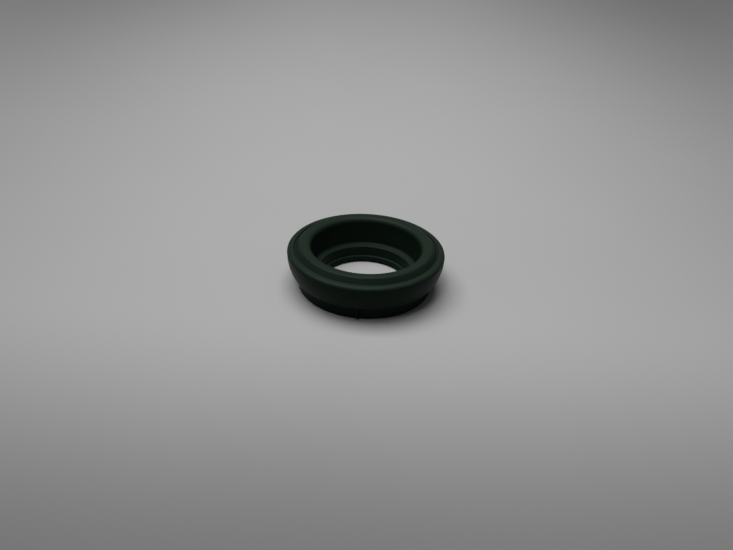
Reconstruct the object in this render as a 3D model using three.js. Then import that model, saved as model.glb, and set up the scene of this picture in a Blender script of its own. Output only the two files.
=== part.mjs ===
// Valve stem seal: one ring of dark green rubber, moulded in one piece.
// Millimetres, +Z up. The origin is on the ring's axis, in the plane that its base stands on.
// The whole ring is one section turned about the axis. Radii are built up from the stem
// outwards and heights from the base upwards, so each size below can change by itself.
import * as THREE from "three";

// The stem and the lip that grips it.
const STEM_DIAMETER = 8;
const LIP_SQUEEZE = 0.15;
const LIP_EDGE_HEIGHT = 0.22;
const LIP_EDGE_ROUND = 0.05;
const LIP_ENTRY_WIDTH = 0.15;
const LIP_TAPER = 0.13;

// The throat above the lip, stepped by a narrow ledge, and the shoulder that it opens on.
const LEDGE_HEIGHT = 0.59;
const LEDGE_WIDTH = 0.17;
const LEDGE_ROUND = 0.06;
const THROAT_TAPER = 0.11;
const SHOULDER_HEIGHT = 1.53;
const SHOULDER_WIDTH = 0.61;
const SHOULDER_ROUND = 0.13;

// The cup, from its rounded foot up to its mouth.
const CUP_FOOT_ROUND = 0.4;
const CUP_TAPER = 0.14;

// The rim: a broad bead that slopes off outwards into a shallow groove, then the flange's crest.
const RIM_HEIGHT = 3.72;
const BEAD_WIDTH = 1.03;
const BEAD_RISE = 0.43;
const BEAD_ROUND = 0.56;
const BEAD_EDGE_ROUND = 0.3;
const BEAD_SLOPE_WIDTH = 0.46;
const GROOVE_DEPTH = 0.17;
const GROOVE_ROUND = 0.08;
const GROOVE_WIDTH = 0.14;
const CREST_WIDTH = 0.58;
const CREST_ROUND = 0.38;
const CREST_INNER_ROUND = 0.1;

// The outside: the flange's wall tucks in on an arc down to its foot, which overhangs
// the narrower base ring.
const FLANGE_TUCK = 0.57;
const FLANGE_FOOT_HEIGHT = 1.3;
const FLANGE_FOOT_ROUND = 0.12;
const BASE_STEP = 0.48;
const BASE_STEP_ROUND = 0.08;
const BASE_EDGE_ROUND = 0.12;

// How finely the round forms are divided.
const TURN_FACETS = 80;
const ARC_STEP = THREE.MathUtils.degToRad(23);
const WALL_ARC_FACETS = 5;

const RUBBER_GREEN = 0x37423b;
const RUBBER_ROUGHNESS = 0.55;

// Points along an arc of the section, each as [radius, height].
function arcPoints(centreRadius, centreHeight, arcRadius, fromAngle, toAngle, facets) {
  const steps = facets ?? Math.ceil(Math.abs(toAngle - fromAngle) / ARC_STEP);
  return Array.from({ length: steps + 1 }, (_, step) => {
    const angle = fromAngle + ((toAngle - fromAngle) * step) / steps;
    return [
      centreRadius + arcRadius * Math.cos(angle),
      centreHeight + arcRadius * Math.sin(angle),
    ];
  });
}

// Points of the arc that rounds one corner, tangent to both of its sides.
// The shorter side limits it, so that two rounds on one side can't cross.
function roundCorner(before, corner, after, radius) {
  const toBefore = before.clone().sub(corner);
  const toAfter = after.clone().sub(corner);
  const halfAngle = toBefore.angleTo(toAfter) / 2;
  const room = Math.min(toBefore.length(), toAfter.length()) / 2;
  const setback = Math.min(radius / Math.tan(halfAngle), room);
  toBefore.normalize();
  toAfter.normalize();
  const start = corner.clone().addScaledVector(toBefore, setback);
  const inward = toBefore.clone().add(toAfter).normalize();
  const centre = corner.clone().addScaledVector(inward, setback / Math.cos(halfAngle));
  const sweep = (Math.PI - 2 * halfAngle) * Math.sign(toAfter.cross(toBefore));
  const steps = Math.max(2, Math.ceil(Math.abs(sweep) / ARC_STEP));
  return Array.from({ length: steps + 1 }, (_, step) =>
    start.clone().rotateAround(centre, (sweep * step) / steps),
  );
}

// The closed outline of the section. Each corner is [radius, height], with the radius
// of its round as a third value where it has one.
function outline(corners) {
  const at = corners.map(([radius, height]) => new THREE.Vector2(radius, height));
  const points = corners.flatMap(([, , round], i) => {
    const before = at[(i + at.length - 1) % at.length];
    const after = at[(i + 1) % at.length];
    return round > 0 ? roundCorner(before, at[i], after, round) : [at[i]];
  });
  return [...points, points[0].clone()];
}

// The flange's outer wall: upright at its widest, drawn in by the tuck at its foot.
function flangeWall(outerRadius, widestHeight) {
  const drop = widestHeight - FLANGE_FOOT_HEIGHT;
  const turn = 2 * Math.atan(FLANGE_TUCK / drop);
  const wallRadius = drop / Math.sin(turn);
  const wall = arcPoints(outerRadius - wallRadius, widestHeight, wallRadius, -turn, 0, WALL_ARC_FACETS);
  const [foot, ...rest] = wall;
  return [[...foot, FLANGE_FOOT_ROUND], ...rest];
}

// The ring's section, from the foot of the bore along the base, up the outside,
// over the rim and down through the cup to the lip.
function ringSection() {
  const boreRadius = STEM_DIAMETER / 2 - LIP_SQUEEZE;
  const entryRadius = boreRadius + LIP_ENTRY_WIDTH;
  const lipTopRadius = boreRadius + LIP_TAPER;
  const ledgeRadius = lipTopRadius + LEDGE_WIDTH;
  const shoulderRadius = ledgeRadius + THROAT_TAPER;
  const cupFootRadius = shoulderRadius + SHOULDER_WIDTH;
  const mouthRadius = cupFootRadius + CUP_TAPER;
  const beadEdgeRadius = mouthRadius + BEAD_WIDTH;
  const grooveRadius = beadEdgeRadius + BEAD_SLOPE_WIDTH;
  const crestRadius = grooveRadius + GROOVE_WIDTH;
  const outerRadius = crestRadius + CREST_WIDTH;
  const baseRadius = outerRadius - FLANGE_TUCK - BASE_STEP;

  const grooveHeight = RIM_HEIGHT - GROOVE_DEPTH;
  const beadHeight = RIM_HEIGHT + BEAD_RISE;
  const beadRound = Math.min(BEAD_ROUND, BEAD_WIDTH * 0.8, (beadHeight - SHOULDER_HEIGHT) / 2);
  const beadCentreHeight = beadHeight - beadRound;
  const crestRound = Math.min(CREST_ROUND, CREST_WIDTH);
  const widestHeight = RIM_HEIGHT - crestRound;
  const quarter = Math.PI / 2;

  return outline([
    [entryRadius, 0],
    [baseRadius, 0, BASE_EDGE_ROUND],
    [baseRadius, FLANGE_FOOT_HEIGHT, BASE_STEP_ROUND],
    ...flangeWall(outerRadius, widestHeight),
    ...arcPoints(outerRadius - crestRound, widestHeight, crestRound, 0, quarter).slice(1),
    [crestRadius, RIM_HEIGHT, CREST_INNER_ROUND],
    [grooveRadius, grooveHeight, GROOVE_ROUND],
    [beadEdgeRadius, beadHeight, BEAD_EDGE_ROUND],
    ...arcPoints(mouthRadius + beadRound, beadCentreHeight, beadRound, quarter, 2 * quarter),
    [cupFootRadius, SHOULDER_HEIGHT, CUP_FOOT_ROUND],
    [shoulderRadius, SHOULDER_HEIGHT, SHOULDER_ROUND],
    [ledgeRadius, LEDGE_HEIGHT],
    [lipTopRadius, LEDGE_HEIGHT, LEDGE_ROUND],
    [boreRadius, LIP_EDGE_HEIGHT, LIP_EDGE_ROUND],
  ]);
}

function sealRing() {
  const geometry = new THREE.LatheGeometry(ringSection(), TURN_FACETS);
  geometry.rotateX(Math.PI / 2);
  const rubber = new THREE.MeshStandardMaterial({
    color: RUBBER_GREEN,
    roughness: RUBBER_ROUGHNESS,
    metalness: 0,
  });
  const ring = new THREE.Mesh(geometry, rubber);
  ring.name = "seal_ring";
  return ring;
}

const seal = new THREE.Group();
seal.name = "valve_stem_seal";
seal.add(sealRing());

export default seal;
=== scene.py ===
"""Dark green rubber valve stem seal, standing with its cup up on a plain pale sheet.

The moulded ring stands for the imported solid. It is the same section, turned with fine rounds, with the
small traces of its mould: a thin web that the gate left under the flange, and a faint unevenness.
"""

import math

import bpy
import numpy as np
from mathutils import Matrix, Vector


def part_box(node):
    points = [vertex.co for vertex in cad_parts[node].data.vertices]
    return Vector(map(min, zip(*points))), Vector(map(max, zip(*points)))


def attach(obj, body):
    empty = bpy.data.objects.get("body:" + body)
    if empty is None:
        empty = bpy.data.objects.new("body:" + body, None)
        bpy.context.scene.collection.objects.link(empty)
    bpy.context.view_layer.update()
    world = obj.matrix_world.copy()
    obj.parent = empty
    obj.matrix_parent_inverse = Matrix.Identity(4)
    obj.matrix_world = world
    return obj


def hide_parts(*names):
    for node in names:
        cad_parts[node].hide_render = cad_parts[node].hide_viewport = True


MM = 0.001
QUARTER_TURN = math.pi / 2

# The ring's section, in millimetres: radii from the stem outwards, heights from the base upwards.
LIP_RADIUS = 3.85
LIP_EDGE_HEIGHT = 0.22
LIP_ENTRY_WIDTH = 0.15
LIP_TAPER = 0.13
LEDGE_HEIGHT = 0.59
LEDGE_WIDTH = 0.17
THROAT_TAPER = 0.11
SHOULDER_HEIGHT = 1.53
SHOULDER_WIDTH = 0.61
CUP_TAPER = 0.14
BEAD_WIDTH = 1.03
BEAD_RISE = 0.43
BEAD_ROUND = 0.56
BEAD_SLOPE_WIDTH = 0.46
GROOVE_DEPTH = 0.17
GROOVE_WIDTH = 0.14
CREST_ROUND = 0.38
FLANGE_TUCK = 0.57
FLANGE_FOOT_HEIGHT = 1.3
BASE_STEP = 0.48

# Rounds of the section's corners, in millimetres.
BASE_EDGE_ROUND = 0.12
BASE_STEP_ROUND = 0.08
FLANGE_FOOT_ROUND = 0.12
CREST_INNER_ROUND = 0.1
GROOVE_ROUND = 0.08
BEAD_EDGE_ROUND = 0.3
CUP_FOOT_ROUND = 0.4
SHOULDER_ROUND = 0.16
LEDGE_ROUND = 0.06
LIP_EDGE_ROUND = 0.05

# How finely the moulded ring is divided.
TURN_STEPS = 360
ARC_STEP = math.radians(9)
LONGEST_SPAN = 0.09

# A faint unevenness in millimetres, made of waves: each one's share, how many go round the ring,
# how far it drifts with height, and where it starts.
UNEVENNESS = 0.012
WAVES = ((0.45, 2, 0.0, 0.7), (0.25, 5, 1.9, 2.1), (0.18, 9, -1.3, 0.4), (0.12, 17, 2.7, 0.0))

# The thin web that the gate left under the flange, in degrees round the ring and in millimetres.
WEB_BEARING = 265.2
WEB_SPREAD = 2.4
WEB_STEPS = 24
WEB_HALF_WIDTH = 0.12
WEB_SQUARENESS = 4
WEB_REACH = 0.47
WEB_FILL = 0.95
WEB_FOOT = 0.1
WEB_RISE = 0.25
WEB_TOP = 1.75
WEB_PROUD = 0.035

# The green rubber: its colours, with painted light on its upward faces and painted shade in its nooks, and
# the sizes of its mottle, grain, dust and painted nook shade.
RUBBER_DARK = (0.004, 0.010, 0.006, 1)
RUBBER_GREEN = (0.007, 0.016, 0.010, 1)
# Painted light: the paler colour of the rubber where it faces up.
PAINTED_TOP_LIGHT = (0.032, 0.049, 0.037, 1)
DUST = (0.07, 0.08, 0.07, 1)
# Painted shade: the near-black colour of the rubber in its nooks.
PAINTED_NOOK_SHADE = (0.002, 0.004, 0.003, 1)
MOTTLE_SIZE = 1.6 * MM
GRAIN_SIZE = 0.09 * MM
SPECK_SIZE = 0.14 * MM
PAINTED_SHADE_REACH = 0.7 * MM
PAINTED_SHADE_RAYS = 8
RUBBER_SHEEN = 0.055

# The sheet: how wide it reaches, its tone, and the sizes of its clouds and of its paper's tooth.
SHEET_REACH = 1.2
SHEET_TONE = (0.44, 0.44, 0.44, 1)
CLOUD_SIZE = 22 * MM
TOOTH_SIZE = 0.35 * MM
SHEET_ROUGHNESS = 0.9
SHEET_SHEEN = 0.2

# The photo's view: its frame in pixels, where the ring's axis shows in it and how far off it is.
PHOTO_WIDTH = 733
PHOTO_HEIGHT = 550
AIM_PIXEL = (366.1, 245.6)
AIM_HEIGHT = 3.93
VIEW_BEARING = 270
VIEW_ELEVATION = 28.65
VIEW_ROLL = 2.92
VIEW_DISTANCE = 71.8
VIEW_FIELD = 50.0
SENSOR_WIDTH = 36.0
NEAREST_SEEN = MM
FARTHEST_SEEN = 10

# The light, at about the level at which a colour renders as it is written.
SKY_STRENGTH = 0.08
SKY_SEEN = 0.4
TUBE_POWER = 6.7
TUBE_PLACE = (-0.2, 0.1, 0.8)
TUBE_LENGTH = 0.8
TUBE_WIDTH = 0.6
SPOT_STRENGTH = 0.3
SPOT_SPREAD = 12.0
SPOT_ELEVATION = 66.0
SPOT_BEARING = 245.0


class Wire:
    """One output socket of a finish. Arithmetic on wires adds the finish's Math nodes."""

    def __init__(self, finish, socket):
        self.finish = finish
        self.socket = socket

    def _maths(self, operation, *values):
        return self.finish.node("ShaderNodeMath", {"operation": operation}, dict(enumerate(values)))

    def __add__(self, other):
        return self._maths("ADD", self, other)

    __radd__ = __add__

    def __rsub__(self, other):
        return self._maths("SUBTRACT", other, self)

    def __mul__(self, other):
        return self._maths("MULTIPLY", self, other)

    __rmul__ = __mul__

    def __abs__(self):
        return self._maths("ABSOLUTE", self)

    def rising(self, low, high):
        """0 below low, 1 above high, and smooth between them."""
        settings = {"interpolation_type": "SMOOTHSTEP"}
        values = {"Value": self, "From Min": low, "From Max": high}
        return self.finish.node("ShaderNodeMapRange", settings, values)


class Finish:
    """The nodes of one material or of the sky. All but the two they start with come from node()."""

    def __init__(self, owner, shader):
        owner.use_nodes = True
        self.tree = owner.node_tree
        self.shader = self.tree.nodes[shader]

    def node(self, kind, settings=None, values=None, output=0):
        made = self.tree.nodes.new(kind)
        for name, value in (settings or {}).items():
            setattr(made, name, value)
        self.fill(made, values or {})
        return Wire(self, made.outputs[output])

    def fill(self, node, values):
        for name, value in values.items():
            if isinstance(value, Wire):
                self.tree.links.new(value.socket, node.inputs[name])
            else:
                node.inputs[name].default_value = value

    def mix(self, factor, first, second):
        """The first colour where factor is 0 and the second where it is 1."""
        sockets = {0: factor, 6: first, 7: second}
        return self.node("ShaderNodeMix", {"data_type": "RGBA"}, sockets, output=2)

    def noise(self, where, size, detail, roughness=0.5):
        """Soft noise from 0 to 1, with features about size metres across."""
        values = {"Vector": where, "Scale": 1 / size, "Detail": detail, "Roughness": roughness}
        return self.node("ShaderNodeTexNoise", values=values)

    def part_of(self, vector, axis):
        """One of a vector's three parts, as a number."""
        return self.node("ShaderNodeSeparateXYZ", values={"Vector": vector}, output=axis)

    def bump(self, height, distance, strength, below=None):
        values = {"Height": height, "Distance": distance, "Strength": strength}
        if below:
            values["Normal"] = below
        return self.node("ShaderNodeBump", values=values)


def arc_points(centre, radius, start, end):
    """Points of the section along an arc, angles in radians from the outward direction."""
    steps = max(2, math.ceil(abs(end - start) / ARC_STEP))
    angles = np.linspace(start, end, steps + 1)
    return [(centre[0] + radius * math.cos(a), centre[1] + radius * math.sin(a)) for a in angles]


def round_corner(before, corner, after, radius):
    """Points of the arc that rounds one corner, no longer than half of either side."""
    to_before = np.subtract(before, corner)
    to_after = np.subtract(after, corner)
    room = min(np.linalg.norm(to_before), np.linalg.norm(to_after)) / 2
    to_before /= np.linalg.norm(to_before)
    to_after /= np.linalg.norm(to_after)
    half = math.acos(np.clip(to_before @ to_after, -1, 1)) / 2
    setback = min(radius / math.tan(half), room)
    inward = to_before + to_after
    centre = corner + inward / np.linalg.norm(inward) * setback / math.cos(half)
    start = corner + to_before * setback - centre
    turn = math.pi - 2 * half
    if to_after[0] * to_before[1] - to_after[1] * to_before[0] < 0:
        turn = -turn
    bearing = math.atan2(start[1], start[0])
    return arc_points(centre, np.linalg.norm(start), bearing, bearing + turn)


def rounded(corners):
    """The closed outline through corners of radius, height and the size of the corner's round."""
    outline = []
    for i, (radius, level, rounding) in enumerate(corners):
        if rounding:
            before = corners[i - 1][:2]
            after = corners[(i + 1) % len(corners)][:2]
            outline += round_corner(before, (radius, level), after, rounding)
        else:
            outline.append((radius, level))
    return [tuple(map(float, point)) for point in outline]


def even_spans(outline):
    """The closed outline with its long straight sides cut into short spans."""
    points = []
    for here, there in zip(outline, outline[1:] + outline[:1]):
        spans = max(1, math.ceil(math.dist(here, there) / LONGEST_SPAN))
        points += [np.add(here, np.subtract(there, here) * i / spans) for i in range(spans)]
    return np.array(points)


def flange_outside(outer_radius, rim_height):
    """The flange from its foot up the tucked wall and over the crest, as corners."""
    widest_height = rim_height - CREST_ROUND
    drop = widest_height - FLANGE_FOOT_HEIGHT
    wall_turn = 2 * math.atan(FLANGE_TUCK / drop)
    wall_radius = drop / math.sin(wall_turn)
    wall = arc_points((outer_radius - wall_radius, widest_height), wall_radius, -wall_turn, 0)
    crest = arc_points((outer_radius - CREST_ROUND, widest_height), CREST_ROUND, 0, QUARTER_TURN)
    return [(*wall[0], FLANGE_FOOT_ROUND), *((*point, 0) for point in wall[1:] + crest[1:])]


def bead_inside(mouth_radius, height):
    """The bead's round side towards the cup, as corners."""
    centre = (mouth_radius + BEAD_ROUND, height - BEAD_ROUND)
    return [(*point, 0) for point in arc_points(centre, BEAD_ROUND, QUARTER_TURN, 2 * QUARTER_TURN)]


def ring_section(outer_radius, height):
    """The section's closed outline in millimetres, from the base outwards and round to the lip."""
    lip_top_radius = LIP_RADIUS + LIP_TAPER
    ledge_radius = lip_top_radius + LEDGE_WIDTH
    shoulder_radius = ledge_radius + THROAT_TAPER
    cup_foot_radius = shoulder_radius + SHOULDER_WIDTH
    mouth_radius = cup_foot_radius + CUP_TAPER
    bead_edge_radius = mouth_radius + BEAD_WIDTH
    groove_radius = bead_edge_radius + BEAD_SLOPE_WIDTH
    base_radius = outer_radius - FLANGE_TUCK - BASE_STEP
    rim_height = height - BEAD_RISE
    corners = [
        (LIP_RADIUS + LIP_ENTRY_WIDTH, 0, 0),
        (base_radius, 0, BASE_EDGE_ROUND),
        (base_radius, FLANGE_FOOT_HEIGHT, BASE_STEP_ROUND),
        *flange_outside(outer_radius, rim_height),
        (groove_radius + GROOVE_WIDTH, rim_height, CREST_INNER_ROUND),
        (groove_radius, rim_height - GROOVE_DEPTH, GROOVE_ROUND),
        (bead_edge_radius, height, BEAD_EDGE_ROUND),
        *bead_inside(mouth_radius, height),
        (cup_foot_radius, SHOULDER_HEIGHT, CUP_FOOT_ROUND),
        (shoulder_radius, SHOULDER_HEIGHT, SHOULDER_ROUND),
        (ledge_radius, LEDGE_HEIGHT, LEDGE_ROUND),
        (lip_top_radius, LEDGE_HEIGHT, LEDGE_ROUND),
        (LIP_RADIUS, LIP_EDGE_HEIGHT, LIP_EDGE_ROUND),
    ]
    return even_spans(rounded(corners))


def slow_waves(angle, level):
    """A faint unevenness of moulded rubber, from -1 to 1, that closes on itself round the ring."""
    return sum(share * np.sin(count * angle + drift * level + start) for share, count, drift, start in WAVES)


def turn_angles():
    """Even steps round the ring, with finer ones where the web stands."""
    even = np.arange(TURN_STEPS) * 360 / TURN_STEPS
    fine = WEB_BEARING + np.linspace(-WEB_SPREAD, WEB_SPREAD, WEB_STEPS)
    quarter_step = 90 / TURN_STEPS
    clear = abs(even - WEB_BEARING) > WEB_SPREAD + quarter_step
    return np.radians(np.sort(np.concatenate([even[clear], fine])))


def add_web(radius, angle, level, base_radius):
    """The ring's radii with the web: it fills the flange's overhang and fades out up the wall."""
    across = (angle - math.radians(WEB_BEARING)) * base_radius
    shape = np.exp(-((across / WEB_HALF_WIDTH) ** WEB_SQUARENESS))
    rise = np.clip((level - WEB_FOOT) / WEB_RISE, 0, 1)
    web_radius = base_radius + WEB_REACH * rise
    fade = np.clip((WEB_TOP - level) / (WEB_TOP - FLANGE_FOOT_HEIGHT), 0, 1)
    filled = np.maximum(radius, radius + WEB_FILL * (web_radius - radius) * shape)
    outside = (radius > base_radius - BASE_EDGE_ROUND) & (level < WEB_TOP)
    return np.where(outside, filled + WEB_PROUD * shape * fade * rise, radius)


def place_object(name, data):
    """A new object in the scene that holds this data."""
    placed = bpy.data.objects.new(name, data)
    bpy.context.scene.collection.objects.link(placed)
    return placed


def moulded_ring(outer_radius, height):
    """The ring as a mesh: the section turned about the axis, with the traces of its mould."""
    section = ring_section(outer_radius, height)
    angle, radius = np.meshgrid(turn_angles(), section[:, 0], indexing="ij")
    level = np.broadcast_to(section[:, 1], angle.shape)
    above_base = np.clip(level / LIP_EDGE_HEIGHT, 0, 1)
    radius = add_web(radius, angle, level, outer_radius - FLANGE_TUCK - BASE_STEP)
    radius = radius - UNEVENNESS * (1 + slow_waves(angle, level)) * above_base / 2

    places = np.stack([radius * np.cos(angle), radius * np.sin(angle), level], axis=-1) * MM
    index = np.arange(radius.size).reshape(radius.shape)
    next_row = np.roll(index, -1, axis=0)
    sides = [index, next_row, np.roll(next_row, -1, axis=1), np.roll(index, -1, axis=1)]
    faces = np.stack(sides, axis=-1).reshape(-1, 4)
    mesh = bpy.data.meshes.new("seal_ring_moulded")
    mesh.from_pydata(places.reshape(-1, 3).tolist(), [], faces.tolist())
    mesh.shade_smooth()
    return place_object("seal_ring_moulded", mesh)


def green_rubber():
    """Moulded green rubber: dark and even, with painted light that makes it paler where it faces up, pale
    dust specks there, and painted shade that darkens its nooks.
    """
    rubber = bpy.data.materials.new("green_rubber")
    finish = Finish(rubber, "Principled BSDF")
    where = finish.node("ShaderNodeTexCoord", output="Object")
    normal = finish.node("ShaderNodeNewGeometry", output="Normal")
    facing_up = finish.part_of(normal, "Z")

    mottle = finish.noise(where, MOTTLE_SIZE, 3)
    grain = finish.noise(where, GRAIN_SIZE, 4, 0.6)
    specks = finish.noise(where, SPECK_SIZE, 2, 0.4).rising(0.66, 0.74)

    body = finish.mix(mottle, RUBBER_DARK, RUBBER_GREEN)
    # Painted light: the rubber is paler where it faces up.
    painted_top_lit = finish.mix(facing_up.rising(0.2, 1.0) * (0.2 + 0.4 * grain), body, PAINTED_TOP_LIGHT)
    dusted = finish.mix(specks * facing_up.rising(0.3, 0.9) * 0.2, painted_top_lit, DUST)
    # Painted shade: the rubber is darker where little of itself is open around it, in its nooks and
    # crevices.
    near_itself = {"samples": PAINTED_SHADE_RAYS, "only_local": True}
    painted_shade_openness = finish.node("ShaderNodeAmbientOcclusion", near_itself, {"Distance": PAINTED_SHADE_REACH}, output="AO")
    colour = finish.mix(painted_shade_openness.rising(0.2, 0.8), PAINTED_NOOK_SHADE, dusted)
    roughness = 0.30 + 0.12 * mottle + 0.10 * grain
    coarse = finish.bump(mottle, 0.02 * MM, 0.35)
    fine = finish.bump(grain, 0.006 * MM, 0.5, coarse)
    finish.fill(finish.shader, {"Base Color": colour, "Roughness": roughness, "Normal": fine})
    finish.shader.inputs["Specular IOR Level"].default_value = RUBBER_SHEEN
    return rubber


def pale_sheet():
    """The sheet that the ring stands on: plain pale grey, with painted light falloff that dulls it towards
    the viewer, the sides and far off.
    """
    paper = bpy.data.materials.new("pale_sheet")
    finish = Finish(paper, "Principled BSDF")
    where = finish.node("ShaderNodeTexCoord", output="Object")
    across = finish.part_of(where, "X")
    along = finish.part_of(where, "Y")
    clouds = finish.noise(where, CLOUD_SIZE, 2)
    tooth = finish.noise(where, TOOTH_SIZE, 3)

    # Painted light falloff: the sheet is darker towards the viewer, the sides and far off.
    aside = abs(across).rising(0.005, 0.075)
    near = (0.0 - along).rising(0.005, 0.038)
    far = along.rising(0.02, 0.16)
    painted_light_falloff = (1.0 - 0.6 * near) * (1.0 - 0.4 * aside) * (1.0 - 0.36 * far)
    evenness = 0.96 + 0.05 * clouds + 0.03 * tooth
    colour = finish.mix(painted_light_falloff * evenness, (0, 0, 0, 1), SHEET_TONE)
    surface = finish.bump(tooth, 0.02 * MM, 0.15)
    finish.fill(finish.shader, {"Base Color": colour, "Roughness": SHEET_ROUGHNESS, "Normal": surface})
    finish.shader.inputs["Specular IOR Level"].default_value = SHEET_SHEEN
    return paper


def lay_sheet():
    """The floor: one large level sheet under the base."""
    reach = SHEET_REACH
    corners = [(-reach, -reach, 0), (reach, -reach, 0), (reach, reach, 0), (-reach, reach, 0)]
    mesh = bpy.data.meshes.new("sheet")
    mesh.from_pydata(corners, [], [(0, 1, 2, 3)])
    mesh.materials.append(pale_sheet())
    place_object("sheet", mesh)


def direction(bearing, elevation):
    """The unit vector towards a bearing round the ring and an elevation, both in degrees."""
    across = math.cos(math.radians(elevation))
    turn = math.radians(bearing)
    return Vector((across * math.cos(turn), across * math.sin(turn), math.sin(math.radians(elevation))))


def hang_lamp(name, kind, towards):
    """A lamp of one kind, hung so that it shines back along the direction towards it."""
    hung = place_object(name, bpy.data.lights.new(name, kind))
    hung.rotation_mode = "QUATERNION"
    hung.rotation_quaternion = towards.to_track_quat("Z", "Y")
    return hung


def dim_sky():
    """An even sky that lights the ring dimly and looks about as pale as the sheet."""
    sky = bpy.data.worlds.new("sky")
    finish = Finish(sky, "Background")
    seen = finish.node("ShaderNodeLightPath", output="Is Camera Ray")
    strength = SKY_STRENGTH + (SKY_SEEN - SKY_STRENGTH) * seen
    finish.fill(finish.shader, {"Color": (1, 1, 1, 1), "Strength": strength})
    return sky


def light_scene():
    """A long tube overhead, a little behind the ring, one broad lamp towards the viewer and the sky."""
    bpy.context.scene.world = dim_sky()
    tube = hang_lamp("tube", "AREA", Vector((0, TUBE_PLACE[1], TUBE_PLACE[2])))
    tube.location = TUBE_PLACE
    tube.data.shape = "RECTANGLE"
    tube.data.size = TUBE_LENGTH
    tube.data.size_y = TUBE_WIDTH
    tube.data.energy = TUBE_POWER
    spot = hang_lamp("spot", "SUN", direction(SPOT_BEARING, SPOT_ELEVATION))
    spot.data.energy = SPOT_STRENGTH
    spot.data.angle = math.radians(SPOT_SPREAD)
    bpy.context.scene.view_settings.view_transform = "Standard"


def photo_turn(half_field):
    """How the camera is turned, so that the ring's axis shows off the centre of the photo's frame."""
    focal_pixels = PHOTO_WIDTH / 2 / math.tan(half_field)
    roll = math.radians(VIEW_ROLL)
    off_x = AIM_PIXEL[0] - PHOTO_WIDTH / 2
    off_y = AIM_PIXEL[1] - PHOTO_HEIGHT / 2
    level_x = math.cos(roll) * off_x + math.sin(roll) * off_y
    level_y = math.cos(roll) * off_y - math.sin(roll) * off_x
    yaw = math.atan2(level_x, math.hypot(focal_pixels, level_y))
    pitch = math.radians(VIEW_ELEVATION) + math.atan2(-level_y, focal_pixels)
    tilt = Matrix.Rotation(QUARTER_TURN - pitch, 4, "X")
    return Matrix.Rotation(yaw, 4, "Z") @ tilt @ Matrix.Rotation(roll, 4, "Z")


def place_camera():
    """The photo's view, at its own distance from the ring."""
    half_field = math.radians(VIEW_FIELD) / 2
    lens = bpy.data.cameras.new("camera")
    lens.sensor_width = SENSOR_WIDTH
    lens.lens = SENSOR_WIDTH / 2 / math.tan(half_field)
    lens.clip_start = NEAREST_SEEN
    lens.clip_end = FARTHEST_SEEN
    aim = Vector((0, 0, AIM_HEIGHT * MM))
    place = aim + direction(VIEW_BEARING, VIEW_ELEVATION) * VIEW_DISTANCE * MM
    camera = place_object("camera", lens)
    camera.matrix_world = Matrix.Translation(place) @ photo_turn(half_field)
    bpy.context.scene.camera = camera


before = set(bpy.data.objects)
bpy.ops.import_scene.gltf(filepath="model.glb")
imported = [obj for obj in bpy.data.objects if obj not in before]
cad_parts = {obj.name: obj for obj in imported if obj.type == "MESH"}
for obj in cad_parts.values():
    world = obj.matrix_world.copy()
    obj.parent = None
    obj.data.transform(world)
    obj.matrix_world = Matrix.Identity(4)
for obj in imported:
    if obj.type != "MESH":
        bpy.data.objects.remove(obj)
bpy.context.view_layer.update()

place_camera()
light_scene()
lay_sheet()

_, top_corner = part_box("seal_ring")
ring = moulded_ring(top_corner.x / MM, top_corner.z / MM)
ring.data.materials.append(green_rubber())
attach(ring, "root")
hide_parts("seal_ring")
